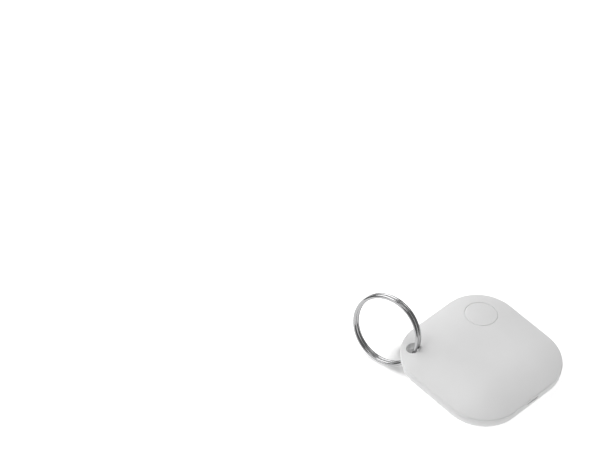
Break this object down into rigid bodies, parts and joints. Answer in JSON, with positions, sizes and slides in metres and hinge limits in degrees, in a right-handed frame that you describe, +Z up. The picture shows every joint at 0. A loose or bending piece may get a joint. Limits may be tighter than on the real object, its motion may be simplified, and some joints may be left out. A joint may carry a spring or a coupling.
{
  "type": "bluetooth tracker tag",
  "caption": "Rounded-square white key-finder tag with a domed front, a round push button, a hole through one corner and a steel split ring in that hole.",
  "frame": {"origin": "on the table, under the middle of the bounding box of the tag and its ring as they lie at rest", "axes": "+Z is up from the table; +X and +Y run along the case's two sides as seen from above, with the ring hole towards -X and +Y and the button towards +X and +Y; the case is tilted a few degrees about X and Y because it is propped on its ring"},
  "size_m": [0.0366, 0.0495, 0.0192],
  "materials": {
    "shell": "fine satin white moulded plastic",
    "rear_shell": "fine satin off-white moulded plastic",
    "button": "satin white moulded plastic",
    "ring_steel": "polished dark nickel-plated spring steel",
    "seal_silicone": "matt silicone",
    "board": "solder-masked laminate",
    "steel": "plain steel",
    "cell_steel": "drawn nickel-plated steel",
    "cell_fill": "dark pressed powder",
    "black_plastic": "black moulded plastic",
    "plunger_plastic": "brown moulded plastic",
    "ceramic": "fired white ceramic",
    "capacitor_body": "tan ceramic with tinned ends",
    "ferrite": "dark ferrite",
    "brass": "rolled brass",
    "gold_plate": "gold-plated spring bronze",
    "adhesive": "clear amber pressure-sensitive tape"
  },
  "bodies": {
    "rear_half": {"rear_cover": "rear_shell", "seal_ring": "seal_silicone"},
    "front_half": {"front_shell": "shell", "switch_base": "black_plastic", "switch_cover": "steel", "circuit_board": "board", "board_screws": "steel", "negative_contact": "gold_plate", "positive_contact": "gold_plate", "radio_chip": "black_plastic", "main_crystal": "steel", "clock_crystal": "steel", "chip_antenna": "ceramic", "inductor": "ferrite", "capacitors": "capacitor_body", "resistors": "black_plastic", "buzzer_disc": "brass", "buzzer_ceramic": "ceramic", "buzzer_adhesive": "adhesive", "buzzer_springs": "gold_plate"},
    "cell": {"cell_can": "cell_steel", "cell_core": "cell_fill", "cell_seal": "black_plastic", "cell_cap": "cell_steel"},
    "button": {"button_cap": "button"},
    "plunger": {"switch_plunger": "plunger_plastic"},
    "ring": {"split_ring": "ring_steel"}
  },
  "joints": [
    {"name": "front_lift", "type": "slide", "parent": "rear_half", "child": "front_half", "axis": [0.0478, -0.0854, 0.9952], "range_m": [0, 0.012]},
    {"name": "cell_lift", "type": "slide", "parent": "rear_half", "child": "cell", "axis": [0.0478, -0.0854, 0.9952], "range_m": [0, 0.006]},
    {"name": "button_press", "type": "slide", "parent": "front_half", "child": "button", "axis": [-0.0478, 0.0854, -0.9952], "range_m": [0, 0.0003], "stiffness_N_per_m": 200},
    {"name": "plunger_press", "type": "slide", "parent": "front_half", "child": "plunger", "axis": [-0.0478, 0.0854, -0.9952], "range_m": [0, 0.0003]},
    {"name": "ring_swing", "type": "hinge", "parent": "front_half", "child": "ring", "pos_m": [-0.01211, 0.00649, 0.00698], "axis": [0.0478, -0.0854, 0.9952], "range_deg": [-30, 80]}
  ],
  "couplings": [
    {"joint": "cell_lift", "follows": "front_lift", "ratio": 0.5},
    {"joint": "plunger_press", "follows": "button_press", "ratio": 1}
  ]
}
